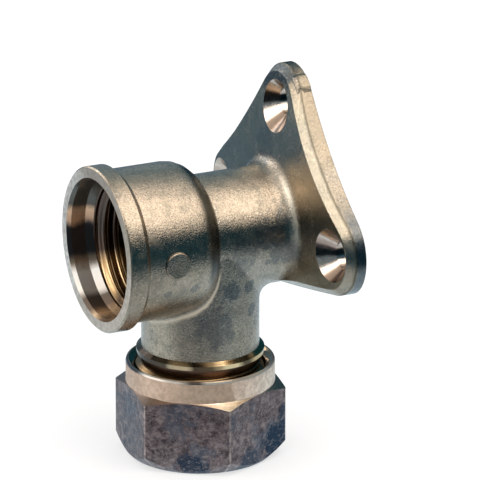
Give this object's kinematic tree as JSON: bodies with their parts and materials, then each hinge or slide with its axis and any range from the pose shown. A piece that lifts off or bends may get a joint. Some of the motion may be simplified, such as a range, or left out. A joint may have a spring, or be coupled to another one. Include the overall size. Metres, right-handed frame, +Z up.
{
  "type": "wall plate elbow",
  "caption": "Brass wall plate elbow: a threaded tap socket on a three-lobed screw plate, with a compression nut and olive on the branch below for copper pipe.",
  "frame": {"origin": "on the socket's axis at the wall plate's flat back face", "axes": "+Y into the wall, +Z up; the socket's mouth faces -Y and the branch with its nut points -Z"},
  "size_m": [0.0502, 0.0347, 0.0622],
  "materials": {
    "forged_brass": "grainy satin forging with bright machined cuts",
    "nut_brass": "dull brown oxidised flats with a bright turned collar",
    "olive_brass": "turned"
  },
  "bodies": {
    "elbow": {"elbow_body": "forged_brass"},
    "olive": {"olive": "olive_brass"},
    "nut": {"compression_nut": "nut_brass"}
  },
  "joints": [
    {"name": "nut_travel", "type": "slide", "parent": "elbow", "child": "olive", "axis": [0, 0, -1], "range_m": [0, 0.0091]},
    {"name": "nut_turn", "type": "hinge", "parent": "olive", "child": "nut", "pos_m": [0, -0.01675, -0.0284], "axis": [0, 0, -1], "range_deg": [0, 1800]}
  ],
  "couplings": [
    {"joint": "nut_travel", "follows": "nut_turn", "m_per_rad": 0.00028871}
  ]
}
